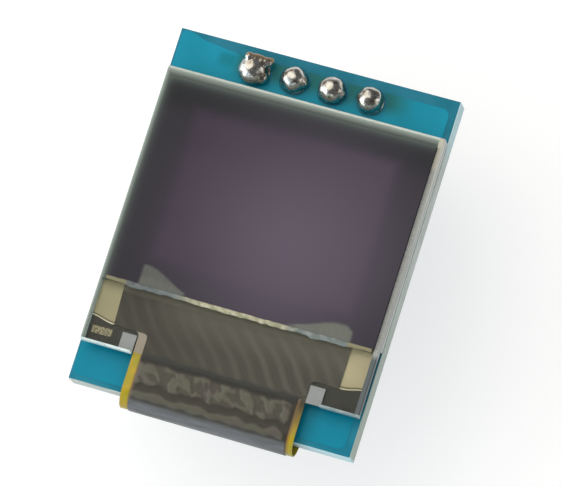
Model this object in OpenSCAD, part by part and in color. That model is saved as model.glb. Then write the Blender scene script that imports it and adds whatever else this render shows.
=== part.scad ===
// Small monochrome OLED display module with a four-pin header.
// Frame: the pin row lies on the X axis, the header stands on the plane z = 0,
// the display looks up (+Z) and the long pins point down. Millimetres.

/* [Board] */
// Width of the board
board_w = 18.7; // [16:0.1:22]
// Length of the board
board_l = 23.6; // [22:0.1:30]
// Thickness of the board with both solder masks
board_t = 1.6; // [1:0.1:2]
// Thickness of one solder mask
mask_t = 0.03; // [0.02:0.01:0.05]
// Distance from the board's header edge to the pin row
pin_inset = 1.44; // [1.3:0.02:1.8]
// Thickness of a tinned copper pad
pad_t = 0.04; // [0.03:0.01:0.06]
// Space that the solder mask leaves round a pad
mask_gap = 0.05; // [0.02:0.01:0.1]

/* [Header] */
// Distance between neighbouring pins
pin_pitch = 2.54; // [2:0.02:2.54]
// Side of a square pin
pin_side = 0.64; // [0.5:0.02:0.7]
// Length of a pin below the header's plastic
pin_down = 6; // [3:0.5:12]
// Height of a pin above the board
pin_up = 1; // [0.6:0.1:1.4]
// Length of the taper at each end of a pin
pin_taper = 0.35; // [0.2:0.05:0.5]
// Height of the header's plastic
header_h = 2.5; // [2:0.1:2.6]
// Depth of the header's plastic, across the pin row
header_d = 2.5; // [2.2:0.1:2.6]
// Cut corner between two ways of the header
header_chamfer = 0.55; // [0.3:0.05:0.7]
// Depth of the channel in the header's face against the board
channel_h = 0.3; // [0.2:0.05:0.5]
// Gap between a pin's corners and the plating of its hole
hole_gap = 0.035; // [0.03:0.005:0.1]
// Wall of the plating in a pin hole
plating_t = 0.04; // [0.03:0.01:0.06]
// Width of the copper ring round a pin hole
ring_w = 0.34; // [0.25:0.01:0.4]

/* [Solder joints] */
// Radius of a plain solder ball
ball_r = 0.82; // [0.75:0.01:0.9]
// Height of the ball's centre above its pad
ball_rise = 0.36; // [0.3:0.02:0.4]
// Radius of the swollen joint on the first pin
swollen_r = 0.96; // [0.9:0.01:1]
// Length of the solder spike on the first pin
spike_l = 1; // [0.8:0.05:1.2]

/* [Display glass] */
// Board that shows beside the glass, on the left
glass_left = 0.24; // [0.1:0.02:0.5]
// Board that shows beside the glass, on the right
glass_right = 0; // [0:0.02:0.3]
// Length of the front glass
glass_l = 18.1; // [17:0.1:19]
// Thickness of the front glass
glass_t = 0.55; // [0.4:0.05:0.7]
// Bare board between the header edge and the glass
glass_inset = 2.86; // [2.7:0.02:3.2]
// Length of the clear ledge below the back glass
ledge_l = 4.2; // [4:0.1:5]
// Thickness of the back glass
cap_t = 0.45; // [0.4:0.05:0.7]
// Depth of the hollow in the back glass
hollow_h = 0.24; // [0.18:0.02:0.3]
// Width of the seal between the two glasses
seal_w = 1; // [0.6:0.1:1.2]
// Thickness of the seal between the two glasses
seal_t = 0.05; // [0.04:0.01:0.08]
// Distance from the edge of the back glass to the seal
seal_inset = 0.15; // [0.1:0.05:0.3]
// Thickness of the double-sided tape under the display
tape_t = 0.2; // [0.1:0.05:0.4]
// Thickness of the polarizer
polarizer_t = 0.2; // [0.1:0.02:0.25]
// Clear glass beside the polarizer
polarizer_side = 0.35; // [0.2:0.05:0.5]
// Clear glass above the polarizer
polarizer_top = 0.6; // [0.4:0.05:0.8]
// Distance from the side of the glass to the lit area
active_margin = 2.52; // [2.4:0.02:3]
// Distance from the top of the glass to the lit area
active_top = 2.1; // [1.9:0.1:2.4]
// Distance from the lower edge of the back glass to the lit area
active_foot = 1.74; // [1.5:0.02:2.2]
// Thickness of the light-emitting layers
organic_t = 0.04; // [0.03:0.01:0.04]
// Thickness of the drying sheet
desiccant_t = 0.12; // [0.08:0.01:0.15]

/* [Flexible film] */
// Distance from the side of the board to the film's wide part
film_margin = 0.35; // [0.3:0.05:0.6]
// Length of the film's wide part
wide_l = 2.65; // [2:0.05:2.9]
// Width of the film's neck
neck_w = 11.5; // [10.6:0.1:12]
// Thickness of the bare film
film_t = 0.07; // [0.05:0.01:0.1]
// Thickness of the printed circuit layer on the film
coat_t = 0.05; // [0.03:0.01:0.06]
// Bare margin along each side of the neck
neck_margin = 0.5; // [0.2:0.05:0.6]
// Width of the bare tab at each end of the wide part
tab_w = 1.55; // [1:0.05:2]
// Radius in the corners between the neck and the wide part
neck_fillet = 0.3; // [0.2:0.05:0.5]
// Width of the glue bead between the back glass and the film
bead_w = 0.25; // [0.15:0.05:0.4]
// Distance from the board's end to the middle of the bend
bend_setback = 0.25; // [0.1:0.05:0.25]
// Length of the film on the back of the board
back_l = 6.4; // [6:0.1:7]
// Thickness of the black tape behind the bonded film
cover_t = 0.08; // [0.05:0.01:0.1]
// Distance from the side of the film's wide part to the black tape
cover_margin = 0.24; // [0.1:0.02:0.6]
// Clear glass between the black tape and the end of the ledge
cover_inset = 0.16; // [0.1:0.02:0.3]
// Width of a metal alignment mark on the ledge
mark_w = 1.15; // [1:0.05:1.3]
// Thickness of a metal alignment mark
mark_t = 0.03; // [0.02:0.01:0.04]
// Gap between the side of the neck and an alignment mark
mark_gap = 0.05; // [0.05:0.05:0.2]
// Gap between the film's wide part and an alignment mark
mark_top = 0.3; // [0.2:0.05:0.5]
// Width of the printed code patch on the black tape
patch_w = 1.3; // [1:0.1:1.6]
// Length of the printed code patch
patch_l = 0.48; // [0.3:0.02:0.6]
// Thickness of the printed code patch
patch_t = 0.03; // [0.02:0.01:0.04]
// Distance from the side of the black tape to the code patch
patch_margin = 0.04; // [0.02:0.02:0.2]

/* [Film contacts] */
// Distance between neighbouring contacts
finger_pitch = 0.62; // [0.5:0.01:0.62]
// Width of a contact
finger_w = 0.3; // [0.2:0.01:0.34]
// Thickness of a contact
finger_t = 0.02; // [0.02:0.005:0.03]
// Length of a contact under the film
finger_hold = 0.6; // [0.4:0.1:1]
// Length of a contact beyond the film
finger_free = 1.6; // [1.2:0.1:2]
// Height of the solder on a contact
finger_solder_h = 0.12; // [0.08:0.01:0.15]

/* [Driver chip] */
// Length of the driver chip
chip_l = 7.2; // [6:0.1:8]
// Width of the driver chip
chip_w = 1.1; // [0.9:0.05:1.3]
// Thickness of the driver chip
chip_t = 0.35; // [0.25:0.05:0.5]
// Width of the resin fillet round the driver chip
resin_w = 0.35; // [0.2:0.05:0.5]
// Distance from the middle of the bend to the driver chip
chip_setback = 1.9; // [1.6:0.1:2.2]

/* [Small components] */
// Length of a chip capacitor or resistor
smd_l = 1.6; // [1.5:0.1:1.8]
// Width of a chip capacitor or resistor
smd_w = 0.8; // [0.7:0.05:0.9]
// Height of a capacitor
capacitor_h = 0.8; // [0.6:0.05:0.9]
// Height of a resistor
resistor_h = 0.45; // [0.4:0.05:0.55]
// Length of a metal end cap
end_l = 0.32; // [0.25:0.01:0.4]
// How far an end cap stands proud of the ceramic
end_lip = 0.02; // [0.01:0.01:0.03]
// Thickness of the dark coat on a resistor
coat_h = 0.04; // [0.03:0.01:0.06]
// Length of the solder fillet at each end
fillet_l = 0.35; // [0.25:0.05:0.45]
// Distance between neighbouring components
smd_pitch = 3.3; // [2.6:0.1:3.6]
// Distance from the film's contacts to the capacitor row
capacitor_row = 2; // [1.8:0.1:2.2]
// Distance from the capacitor row to the resistor row
resistor_row = 3.4; // [3.2:0.1:3.6]
// Distance from the pin row to the regulator
regulator_row = 4.5; // [4.3:0.1:4.6]
// Sideways place of the regulator
regulator_x = -4.6; // [-5.5:0.1:-3.5]
// Length of the regulator's body
regulator_l = 2.9; // [2.8:0.1:3]
// Width of the regulator's body
regulator_w = 1.3; // [1.2:0.1:1.4]
// Height of the regulator's body
regulator_h = 0.95; // [0.85:0.05:1.1]
// Reach of the regulator's leads from tip to tip
regulator_span = 2.4; // [2.3:0.1:2.5]
// Gap between the regulator's body and the board
regulator_gap = 0.08; // [0.05:0.01:0.12]
// How far each moulded side of the regulator leans in
draft = 0.1; // [0.05:0.01:0.12]
// Thickness of a lead
lead_t = 0.12; // [0.1:0.01:0.15]
// Width of a lead
lead_w = 0.4; // [0.3:0.05:0.45]
// Distance along the body from the lone lead to each lead of the pair
lead_pitch = 0.95; // [0.9:0.01:1]
// Length of a lead's flat foot
lead_foot = 0.4; // [0.3:0.05:0.45]
// Pad that shows beside a lead
pad_lip = 0.1; // [0.05:0.01:0.15]

/* [Hidden] */
pin_count = 4;
finger_count = 16;
capacitor_count = 5;
resistor_count = 4;

$fn = 48;
over = 1;                    // how far a cutter runs past the face it cuts

// Board levels and edges
board_z0 = header_h;
board_z1 = board_z0 + board_t;
core_z0 = board_z0 + mask_t;
core_z1 = board_z1 - mask_t;
board_y1 = pin_inset;
board_y0 = board_y1 - board_l;
board_x1 = board_w / 2;

// Pin holes
plated_d = pin_side * sqrt(2) + 2 * hole_gap;
hole_d = plated_d + 2 * plating_t;
ring_d = hole_d + 2 * ring_w;
ring_z0 = core_z0 - pad_t;
ring_z1 = core_z1 + pad_t;

// Display stack: its sides, then its levels from the board up
glass_w = board_w - glass_left - glass_right;
glass_x = (glass_left - glass_right) / 2;
cap_z0 = board_z1 + tape_t;
cap_z1 = cap_z0 + cap_t;
glass_z0 = cap_z1 + seal_t;
glass_z1 = glass_z0 + glass_t;
glass_y1 = board_y1 - glass_inset;
glass_y0 = glass_y1 - glass_l;
cap_y0 = glass_y0 + ledge_l;
seal_in = seal_inset + seal_w;

// Film: its outer face lies on the glass, goes round the board's end and comes back
film_all = film_t + coat_t;
film_w = board_w - 2 * film_margin;
cover_w = film_w - 2 * cover_margin;
film_y1 = cap_y0 - bead_w;
wide_y0 = film_y1 - wide_l;
film_back = board_z0 - (pad_t - mask_t) - finger_t - film_all;
bend_r = (glass_z0 - film_back) / 2;
bend_y = board_y0 + bend_setback;
bend_z = glass_z0 - bend_r;
film_end = bend_y + back_l;
finger_z0 = film_back + film_all;
finger_y1 = film_end + finger_free;
chip_y = bend_y + chip_setback;
chip_z1 = film_back - chip_t;

// Small components hang under the board
pad_z0 = core_z0 - pad_t;
pad_y = (smd_l - end_l) / 2;
capacitor_y = finger_y1 + capacitor_row;
resistor_y = capacitor_y + resistor_row;
regulator_y = -regulator_row;

function pin_x(i) = (i - (pin_count + 1) / 2) * pin_pitch;
function finger_x(i) = (i - (finger_count + 1) / 2) * finger_pitch;
function capacitor_at(i) = i <= 4 ? [(i - 2.5) * smd_pitch, capacitor_y]
    : [smd_pitch / 2, regulator_y];
function resistor_at(i) = [(i - 2.5) * smd_pitch, resistor_y];
function lead_at(i) = i == 0 ? [0, 1] : [i == 1 ? -lead_pitch : lead_pitch, -1];

// A box between two corners
module box(a, b) {
    translate(a) cube(b - a);
}

// A box centred on x in [x - w / 2, x + w / 2]
module bar(x, w, y0, y1, z0, z1) {
    box([x - w / 2, y0, z0], [x + w / 2, y1, z1]);
}

// Places a child on each pin
module each_pin() {
    for (i = [1:pin_count]) translate([pin_x(i), 0, 0]) children();
}

// ---- board ----

module board_plate(z0, z1) {
    box([-board_x1, board_y0, z0], [board_x1, board_y1, z1]);
}

module board_core() {
    color("#d8d4b8") difference() {
        board_plate(core_z0, core_z1);
        each_pin() translate([0, 0, core_z0 - over])
            cylinder(d = hole_d, h = core_z1 - core_z0 + 2 * over);
    }
}

// Round openings of both masks over the copper rings
module ring_openings(z0, z1) {
    each_pin() translate([0, 0, z0 - over])
        cylinder(d = ring_d + 2 * mask_gap, h = z1 - z0 + 2 * over);
}

module mask_front() {
    color("#1f8ea1") difference() {
        board_plate(core_z1, board_z1);
        ring_openings(core_z1, board_z1);
    }
}

module mask_back() {
    color("#1f8ea1") difference() {
        board_plate(board_z0, core_z0);
        ring_openings(board_z0, core_z0);
        smd_pad_shapes(mask_gap, board_z0 - over, core_z0 + over);
        film_pad_shapes(mask_gap / 2, board_z0 - over, core_z0 + over);
    }
}

// Plated barrel with a copper ring at each end
module hole_plating() {
    color("#c9ccc8") each_pin() difference() {
        union() {
            translate([0, 0, ring_z0]) cylinder(d = hole_d, h = ring_z1 - ring_z0);
            translate([0, 0, core_z1]) cylinder(d = ring_d, h = pad_t);
            translate([0, 0, ring_z0]) cylinder(d = ring_d, h = pad_t);
        }
        translate([0, 0, ring_z0 - over])
            cylinder(d = plated_d, h = ring_z1 - ring_z0 + 2 * over);
    }
}

// ---- header ----

// One way of the strip, seen from above: a square with cut corners
module header_way() {
    a = pin_pitch / 2;
    b = header_d / 2;
    c = header_chamfer;
    polygon([[-a, -b + c], [-a + c, -b], [a - c, -b], [a, -b + c],
             [a, b - c], [a - c, b], [-a + c, b], [-a, b - c]]);
}

module header_body() {
    channel_w = ring_d + 2 * mask_gap;
    strip_l = pin_count * pin_pitch;
    color("#17181a") difference() {
        linear_extrude(header_h) difference() {
            union() {
                square([strip_l - pin_pitch, header_d - 2 * header_chamfer], center = true);
                for (i = [1:pin_count]) translate([pin_x(i), 0]) header_way();
            }
            for (i = [1:pin_count]) translate([pin_x(i), 0]) square(pin_side, center = true);
        }
        box([-strip_l, -channel_w / 2, header_h - channel_h],
            [strip_l, channel_w / 2, header_h + over]);
    }
}

// Square bar with a short flat-tipped taper at each end
module pin_shape() {
    s = pin_side / 2;
    t = s / 2;
    z0 = -pin_down;
    z1 = board_z1 + pin_up;
    side_view = [[-t, z0], [t, z0], [s, z0 + pin_taper], [s, z1 - pin_taper],
                 [t, z1], [-t, z1], [-s, z1 - pin_taper], [-s, z0 + pin_taper]];
    intersection() {
        rotate([90, 0, 0]) linear_extrude(pin_side, center = true) polygon(side_view);
        rotate([90, 0, 90]) linear_extrude(pin_side, center = true) polygon(side_view);
    }
}

module header_pin(i) {
    color("#cfc9b4") translate([pin_x(i), 0, 0]) pin_shape();
}

// Solder that wets a copper ring: a ball cut off flat at the ring's face
module dome(r, rise) {
    rotate_extrude() intersection() {
        translate([0, rise]) circle(r = r);
        square(2 * r);
    }
}

// The first joint is swollen, with a lump beside it and a spike towards the board's edge
module swollen_dome() {
    lump_r = swollen_r / 2;
    spike_r = swollen_r / 3;
    dome(swollen_r, ball_rise);
    translate([lump_r * 1.1, lump_r * 1.2, 0]) dome(lump_r, lump_r * 0.6);
    translate([-lump_r / 2, lump_r, ball_rise]) rotate([-28, 0, 0])
        cylinder(r1 = spike_r, r2 = spike_r / 2, h = spike_l);
}

module solder_joint(i) {
    color("#c8c8c4") translate([pin_x(i), 0, 0]) difference() {
        union() {
            translate([0, 0, ring_z1]) {
                if (i == 1) swollen_dome();
                else dome(ball_r, ball_rise);
            }
            translate([0, 0, ring_z0]) cylinder(d = plated_d, h = ring_z1 - ring_z0 + ball_rise);
        }
        pin_shape();
    }
}

// ---- display ----

// A plate that follows the outline of the back glass, set in by a margin
module cap_plate(margin, z0, z1) {
    bar(glass_x, glass_w - 2 * margin, cap_y0 + margin, glass_y1 - margin, z0, z1);
}

module foam_tape() {
    color("#c9cbc6") cap_plate(seal_inset, board_z1, cap_z0);
}

module cap_glass() {
    color("#aab4b0") difference() {
        cap_plate(0, cap_z0, cap_z1);
        cap_plate(seal_in, cap_z1 - hollow_h, cap_z1 + over);
    }
}

module desiccant_sheet() {
    color("#b7b5ad") cap_plate(2 * seal_in, cap_z1 - hollow_h, cap_z1 - hollow_h + desiccant_t);
}

module edge_seal() {
    color("#8f9490") difference() {
        cap_plate(seal_inset, cap_z1, glass_z0);
        cap_plate(seal_in, cap_z1 - over, glass_z0 + over);
    }
}

module organic_layers() {
    color("#5c5460") bar(glass_x, glass_w - 2 * active_margin, cap_y0 + active_foot,
                         glass_y1 - active_top, glass_z0 - organic_t, glass_z0);
}

module substrate_glass() {
    color("#9fb0ac", 0.4) bar(glass_x, glass_w, glass_y0, glass_y1, glass_z0, glass_z1);
}

module polarizer_film() {
    color("#45414a") bar(glass_x, glass_w - 2 * polarizer_side,
                         film_y1, glass_y1 - polarizer_top, glass_z1, glass_z1 + polarizer_t);
}

// ---- film ----

// Glue that fills the corner between the back glass and the film
module glue_bead() {
    color("#cfc9a6") difference() {
        bar(0, film_w, film_y1, cap_y0, glass_z0 - bead_w, glass_z0);
        translate([-film_w, film_y1, glass_z0 - bead_w - film_all])
            rotate([0, 90, 0]) cylinder(r = bead_w, h = 2 * film_w);
    }
}

// Metal squares on the back of the ledge, one beside each edge of the neck
module alignment_marks() {
    for (s = [-1, 1])
        color("#9a9c9e") bar(s * (neck_w / 2 + mark_gap + mark_w / 2), mark_w,
            glass_y0 + cover_inset, wide_y0 - mark_top, glass_z0 - mark_t, glass_z0);
}

// Small tan patch on the face of the black tape, by its left side
module code_patch() {
    y0 = (glass_y0 + cover_inset + wide_y0 - patch_l) / 2;
    color("#9b8f68") translate([patch_margin - cover_w / 2, y0, glass_z0 - film_all])
        cube([patch_w, patch_l, patch_t]);
}

// Black tape that covers the bonded film from behind
module bonding_tape() {
    z1 = glass_z0 - film_all;
    color("#2a2824") bar(0, cover_w, glass_y0 + cover_inset, film_y1, z1 - cover_t, z1);
}

// Side view of a layer of the film between two depths below its outer face:
// flat under the glass, half a turn round the board's end, flat on the back
module film_run(w, a, b, y_back) {
    rotate([90, 0, 90]) linear_extrude(w, center = true) {
        translate([bend_y, glass_z0 - b]) square([film_y1 - bend_y, b - a]);
        translate([bend_y, bend_z]) intersection() {
            difference() {
                circle(r = bend_r - a, $fn = 96);
                circle(r = bend_r - b, $fn = 96);
            }
            translate([-2 * bend_r, -2 * bend_r]) square([2 * bend_r, 4 * bend_r]);
        }
        translate([bend_y, film_back + a]) square([y_back - bend_y, b - a]);
    }
}

// Rounded corners where the neck leaves the wide part
module neck_corners(w, z0, z1) {
    r = neck_fillet;
    for (s = [-1, 1]) mirror([s < 0 ? 1 : 0, 0, 0])
        translate([w / 2 - r, wide_y0 - r, z0]) linear_extrude(z1 - z0) difference() {
            square(2 * r);
            translate([2 * r, 0]) circle(r = r);
        }
}

module flex_film() {
    z1 = glass_z0 - coat_t;
    color("#c9962e") {
        bar(0, film_w, wide_y0, film_y1, z1 - film_t, z1);
        neck_corners(neck_w, z1 - film_t, z1);
        film_run(neck_w, coat_t, film_all, film_end);
    }
}

module flex_circuit() {
    color("#4b473a") {
        bar(0, film_w - 2 * tab_w, wide_y0, film_y1, glass_z0 - coat_t, glass_z0);
        neck_corners(neck_w - 2 * neck_margin, glass_z0 - coat_t, glass_z0);
        film_run(neck_w - 2 * neck_margin, 0, coat_t, film_end - neck_margin);
    }
}

// Rows of bars on the contact pitch, used for the pads, the contacts and the solder
module finger_row(w, y0, y1, z0, z1) {
    for (i = [1:finger_count]) bar(finger_x(i), w, y0, y1, z0, z1);
}

module film_fingers() {
    color("#c4b27a") finger_row(finger_w, film_end - finger_hold, finger_y1,
                                finger_z0, finger_z0 + finger_t);
}

module film_pad_shapes(grow, z0, z1) {
    finger_row(finger_w + 2 * grow, film_end - finger_hold - grow, finger_y1 + finger_w + grow, z0, z1);
}

module film_pads() {
    color("#c9ccc8") film_pad_shapes(0, pad_z0, core_z0);
}

// Half-round bead of solder along the free part of each contact
module finger_solder() {
    r = finger_w / 2;
    color("#c8c8c4") for (i = [1:finger_count])
        translate([finger_x(i), film_end + r, finger_z0]) intersection() {
            rod_bead(r, finger_free - 2 * r);
            box([-r, -r, -finger_solder_h], [r, finger_free, 0]);
        }
}

// Rod with ball ends, lying along Y
module rod_bead(r, l) {
    rotate([-90, 0, 0]) cylinder(r = r, h = l, $fn = 24);
    sphere(r = r, $fn = 24);
    translate([0, l, 0]) sphere(r = r, $fn = 24);
}

// ---- driver chip ----

module chip_block(z0, z1) {
    bar(0, chip_l, chip_y - chip_w / 2, chip_y + chip_w / 2, z0, z1);
}

module driver_chip() {
    color("#3a3d42") chip_block(chip_z1, film_back);
}

// Roof-shaped prism along X, wide against the film and narrow at its foot
module resin_wedge(l, w) {
    h = chip_t * 0.8;
    rotate([90, 0, 90]) linear_extrude(l, center = true)
        polygon([[-w / 2 - resin_w, 0], [w / 2 + resin_w, 0], [w / 2, -h], [-w / 2, -h]]);
}

module chip_resin() {
    color("#22201e") difference() {
        translate([0, chip_y, film_back]) intersection() {
            resin_wedge(chip_l + 2 * resin_w, chip_w);
            rotate([0, 0, 90]) resin_wedge(chip_w + 2 * resin_w, chip_l);
        }
        chip_block(chip_z1 - over, film_back + over);
    }
}

// ---- small components, hanging from the back of the board ----

// Child placed on the pads of a part at p, with the board's back as its z = 0
module on_back(p) {
    translate([p.x, p.y, pad_z0]) children();
}

// Both end caps of a chip part
module end_caps(h) {
    for (s = [-1, 1]) translate([0, s * pad_y, -h / 2])
        cube([smd_w, end_l, h], center = true);
}

// Ceramic between the end caps
module ceramic(h) {
    translate([0, 0, -h / 2])
        cube([smd_w - 2 * end_lip, smd_l - 2 * end_l, h - 2 * end_lip], center = true);
}

module capacitor(i) {
    color("#a98a63") on_back(capacitor_at(i)) ceramic(capacitor_h);
}

module capacitor_ends(i) {
    color("#cfd0cd") on_back(capacitor_at(i)) end_caps(capacitor_h);
}

module resistor(i) {
    color("#e6e4de") on_back(resistor_at(i)) ceramic(resistor_h);
}

module resistor_ends(i) {
    color("#cfd0cd") on_back(resistor_at(i)) end_caps(resistor_h);
}

module resistor_coats() {
    color("#1b1b1d") for (i = [1:resistor_count]) on_back(resistor_at(i))
        translate([0, 0, -resistor_h + end_lip - coat_h / 2])
            cube([smd_w - 4 * end_lip, smd_l - 2 * end_l, coat_h], center = true);
}

// Moulded body with drafted sides
module regulator_body() {
    color("#1a1a1c") on_back([regulator_x, regulator_y])
        translate([0, 0, -regulator_gap]) intersection() {
            rotate([90, 0, 90]) linear_extrude(regulator_l, center = true)
                drafted_side(regulator_w, regulator_h);
            rotate([90, 0, 0]) linear_extrude(regulator_w, center = true)
                drafted_side(regulator_l, regulator_h);
        }
}

module drafted_side(w, h) {
    polygon([[-w / 2 + draft, 0], [w / 2 - draft, 0], [w / 2, -h / 2],
             [w / 2 - draft, -h], [-w / 2 + draft, -h], [-w / 2, -h / 2]]);
}

// Gull-wing lead: leaves the body at half height, drops to the pad and runs out flat
module gull_wing() {
    root = regulator_w / 2;
    tip = regulator_span / 2;
    knee = tip - lead_foot;
    zm = -regulator_gap - regulator_h / 2;
    t = lead_t;
    rotate([90, 0, 90]) linear_extrude(lead_w, center = true)
        polygon([[root, zm - t / 2], [knee + t, zm - t / 2], [knee + t, -t], [tip, -t],
                 [tip, 0], [knee, 0], [knee, zm + t / 2], [root, zm + t / 2]]);
}

module each_lead() {
    for (i = [0:2]) {
        p = lead_at(i);
        on_back([regulator_x + p.x, regulator_y]) mirror([0, p.y < 0 ? 1 : 0, 0]) children();
    }
}

module regulator_leads() {
    color("#c4c5c2") each_lead() gull_wing();
}

// Pads: a pair under each chip part and one under each lead of the regulator
module pad_pair(grow, z0, z1) {
    l = end_l + fillet_l;
    for (s = [-1, 1]) translate([0, s * (pad_y + fillet_l / 2), 0])
        bar(0, smd_w + 2 * grow, -l / 2 - grow, l / 2 + grow, z0, z1);
}

module smd_pad_shapes(grow, z0, z1) {
    for (i = [1:capacitor_count]) translate(capacitor_at(i)) pad_pair(grow, z0, z1);
    for (i = [1:resistor_count]) translate(resistor_at(i)) pad_pair(grow, z0, z1);
    for (i = [0:2]) translate([regulator_x + lead_at(i).x, regulator_y])
        mirror([0, lead_at(i).y < 0 ? 1 : 0, 0])
            bar(0, lead_w + 2 * pad_lip + 2 * grow, regulator_span / 2 - lead_foot - grow,
                regulator_span / 2 + fillet_l + grow, z0, z1);
}

module smd_pads() {
    color("#c9ccc8") smd_pad_shapes(0, pad_z0, core_z0);
}

// Hollow fillet that climbs an end face from the pad
module fillet(w, h, y) {
    translate([0, y, 0]) rotate([90, 0, 90]) linear_extrude(w, center = true) difference() {
        translate([0, -h]) square([fillet_l, h]);
        translate([fillet_l, -h]) scale([fillet_l / h, 1]) circle(r = h, $fn = 24);
    }
}

module fillet_pair(h) {
    for (s = [0, 1]) mirror([0, s, 0]) fillet(smd_w, h, smd_l / 2);
}

module smd_solder() {
    climb = 0.8;
    color("#c8c8c4") {
        for (i = [1:capacitor_count]) on_back(capacitor_at(i)) fillet_pair(fillet_l);
        for (i = [1:resistor_count]) on_back(resistor_at(i)) fillet_pair(resistor_h * climb);
        each_lead() fillet(lead_w, lead_t, regulator_span / 2);
    }
}

board_core();
mask_front();
mask_back();
hole_plating();
smd_pads();
film_pads();
header_body();
for (i = [1:pin_count]) header_pin(i);
for (i = [1:pin_count]) solder_joint(i);
foam_tape();
cap_glass();
desiccant_sheet();
edge_seal();
organic_layers();
substrate_glass();
polarizer_film();
glue_bead();
alignment_marks();
code_patch();
bonding_tape();
flex_film();
flex_circuit();
film_fingers();
finger_solder();
driver_chip();
chip_resin();
for (i = [1:capacitor_count]) capacitor(i);
for (i = [1:capacitor_count])
    capacitor_ends(i);
for (i = [1:resistor_count]) resistor(i);
for (i = [1:resistor_count])
    resistor_ends(i);
resistor_coats();
regulator_body();
regulator_leads();
smd_solder();
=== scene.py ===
import math

import bmesh
import bpy
from mathutils import Matrix, Vector
from mathutils.noise import noise


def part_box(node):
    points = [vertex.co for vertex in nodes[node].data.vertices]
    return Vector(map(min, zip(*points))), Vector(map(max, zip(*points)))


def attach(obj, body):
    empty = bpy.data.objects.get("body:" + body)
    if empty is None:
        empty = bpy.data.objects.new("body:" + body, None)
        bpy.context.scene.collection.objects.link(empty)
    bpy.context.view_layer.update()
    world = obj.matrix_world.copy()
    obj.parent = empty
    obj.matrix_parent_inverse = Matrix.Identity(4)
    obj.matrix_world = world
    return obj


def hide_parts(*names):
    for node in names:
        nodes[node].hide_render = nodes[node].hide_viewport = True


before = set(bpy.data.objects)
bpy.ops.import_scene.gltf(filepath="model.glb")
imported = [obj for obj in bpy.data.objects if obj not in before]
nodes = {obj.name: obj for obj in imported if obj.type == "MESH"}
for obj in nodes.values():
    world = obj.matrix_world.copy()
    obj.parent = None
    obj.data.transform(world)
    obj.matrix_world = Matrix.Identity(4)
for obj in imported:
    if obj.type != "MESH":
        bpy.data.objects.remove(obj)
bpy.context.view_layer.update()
MM = 0.001

# ----------------------------------------
# Laminate of the board. Woven glass in epoxy, pressed and sawn to size, so
# that its cream edge shows the plies as fine lines along the board.


def paint(red, green, blue):
    """A colour from its 0 to 255 screen values."""
    def linear(v):
        v /= 255
        return v / 12.92 if v <= 0.04045 else ((v + 0.055) / 1.055) ** 2.4
    return (linear(red), linear(green), linear(blue), 1)


class Wiring:
    """The nodes of a material or of the room, and the ways to join them."""

    def __init__(self, holder):
        holder.use_nodes = True
        self.tree = holder.node_tree.nodes
        self.links = holder.node_tree.links

    def join(self, value, into):
        """Sets an input to a number or colour, or feeds it from another node."""
        if isinstance(value, (int, float, tuple)):
            into.default_value = value
        else:
            self.links.new(value, into)

    def level(self, value, low, high, to_low=0.0, to_high=1.0):
        """The part of a value between low and high, spread over a new range."""
        span = self.tree.new("ShaderNodeMapRange")
        span.interpolation_type = "SMOOTHSTEP"
        for name, setting in (("Value", value), ("From Min", low), ("From Max", high),
                              ("To Min", to_low), ("To Max", to_high)):
            self.join(setting, span.inputs[name])
        return span.outputs["Result"]

    def blend(self, share, first, second):
        """Two colours mixed by a share of the second."""
        mix = self.tree.new("ShaderNodeMix")
        mix.data_type = "RGBA"
        for slot, value in ((0, share), (6, first), (7, second)):
            self.join(value, mix.inputs[slot])
        return mix.outputs[2]

    def work(self, operation, first, second):
        """Two values joined by a sum, product or other operation."""
        result = self.tree.new("ShaderNodeMath")
        result.operation = operation
        self.join(first, result.inputs[0])
        self.join(second, result.inputs[1])
        return result.outputs[0]

    def both(self, first, *others):
        """Product of shares: 1 only where all of them are."""
        for other in others:
            first = self.work("MULTIPLY", first, other)
        return first

    def either(self, first, second):
        """The larger of two shares."""
        return self.work("MAXIMUM", first, second)


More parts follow.
